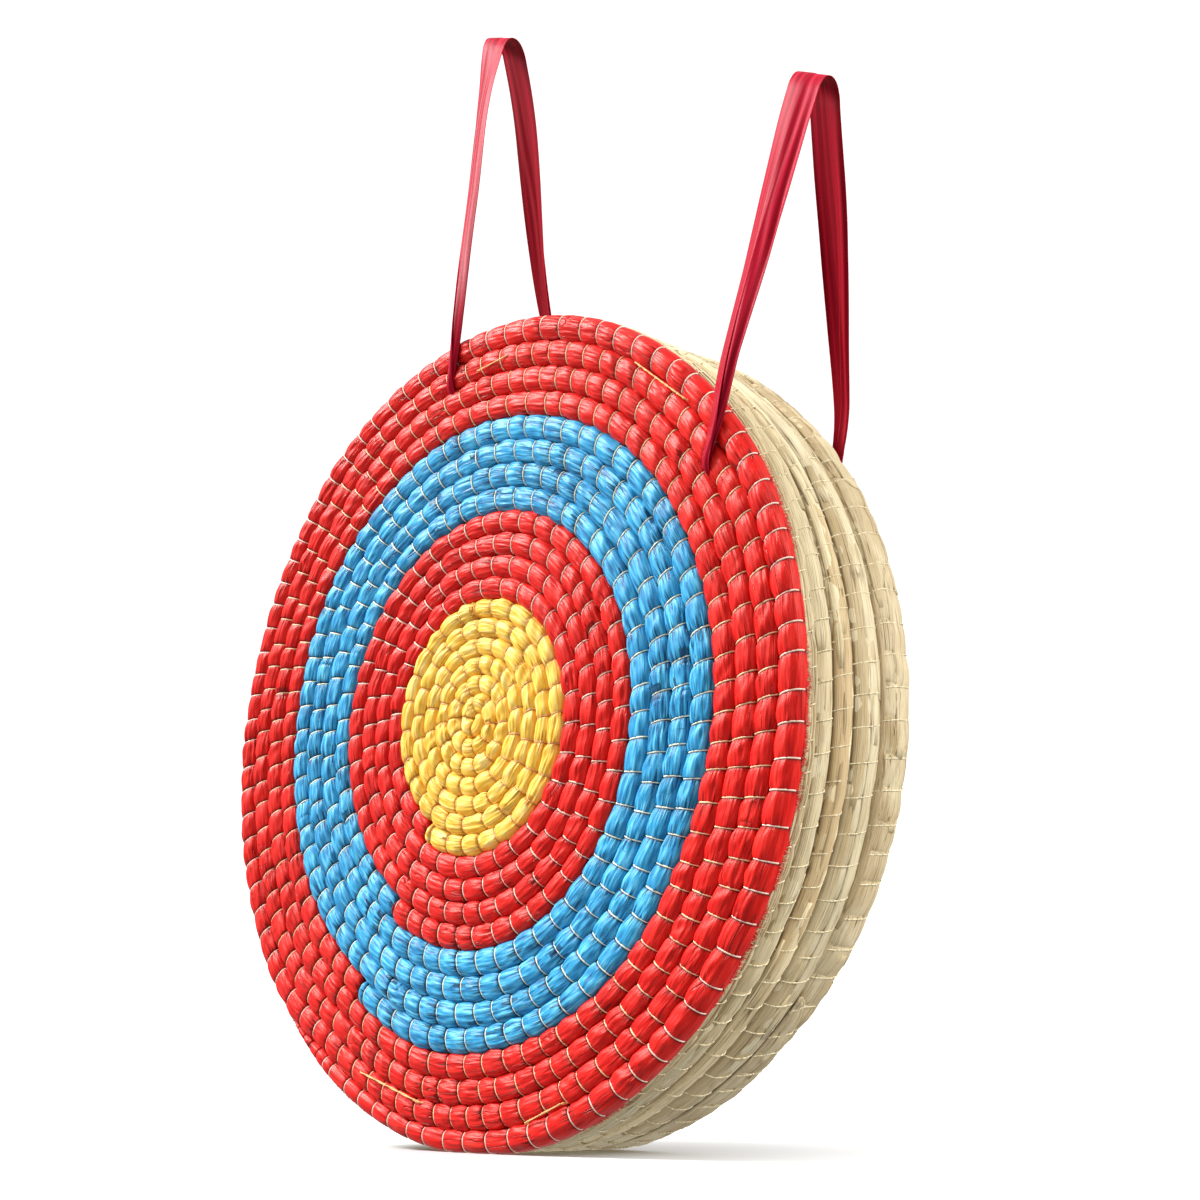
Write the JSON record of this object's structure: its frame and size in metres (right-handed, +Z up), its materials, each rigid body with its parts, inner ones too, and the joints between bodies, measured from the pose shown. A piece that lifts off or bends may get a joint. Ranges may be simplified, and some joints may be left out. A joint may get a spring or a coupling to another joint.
{
  "type": "archery target boss",
  "caption": "Round archery target boss: a thick stack of coiled, stitched straw mats with a yellow, red and blue ringed face and red ribbon hanging loops near the rim.",
  "frame": {"origin": "on the floor, at the middle of the flat that the rim stands on, under the axis of the disc and in the middle plane of the third mat", "axes": "+Z up along the disc's height, -Y out of the coloured face, +X to the right seen from the face"},
  "size_m": [0.4996, 0.1197, 0.7311],
  "materials": {
    "raffia_yellow": "satin woven raffia",
    "raffia_red": "satin woven raffia",
    "raffia_blue": "satin woven raffia",
    "straw": "matte bundled straw with a dry sheen",
    "ribbon": "satin ribbon",
    "twine": "matte twisted twine"
  },
  "bodies": {
    "root": {"face_yellow_coil": "raffia_yellow", "face_inner_red_coil": "raffia_red", "face_outer_red_coil": "raffia_red", "face_blue_coil": "raffia_blue", "second_layer_core": "straw", "second_layer_rim_rope": "straw", "third_layer_core": "straw", "third_layer_rim_rope": "straw", "fourth_layer_core": "straw", "fourth_layer_rim_rope": "straw", "back_layer_coil": "straw", "stack_tie_1": "twine", "stack_tie_2": "twine", "stack_tie_3": "twine", "stack_tie_4": "twine"},
    "left_hanger": {"left_hanger_ribbon": "ribbon", "left_hanger_knot": "ribbon"},
    "right_hanger": {"right_hanger_ribbon": "ribbon", "right_hanger_knot": "ribbon"}
  },
  "joints": [
    {"name": "left_hanger_swing", "type": "hinge", "parent": "root", "child": "left_hanger", "pos_m": [-0.02912, 0, 0.46657], "axis": [0, 1, 0], "range_deg": [-40, 40]},
    {"name": "right_hanger_swing", "type": "hinge", "parent": "root", "child": "right_hanger", "pos_m": [0.18884, 0, 0.36222], "axis": [0, 1, 0], "range_deg": [-12, 60]}
  ]
}
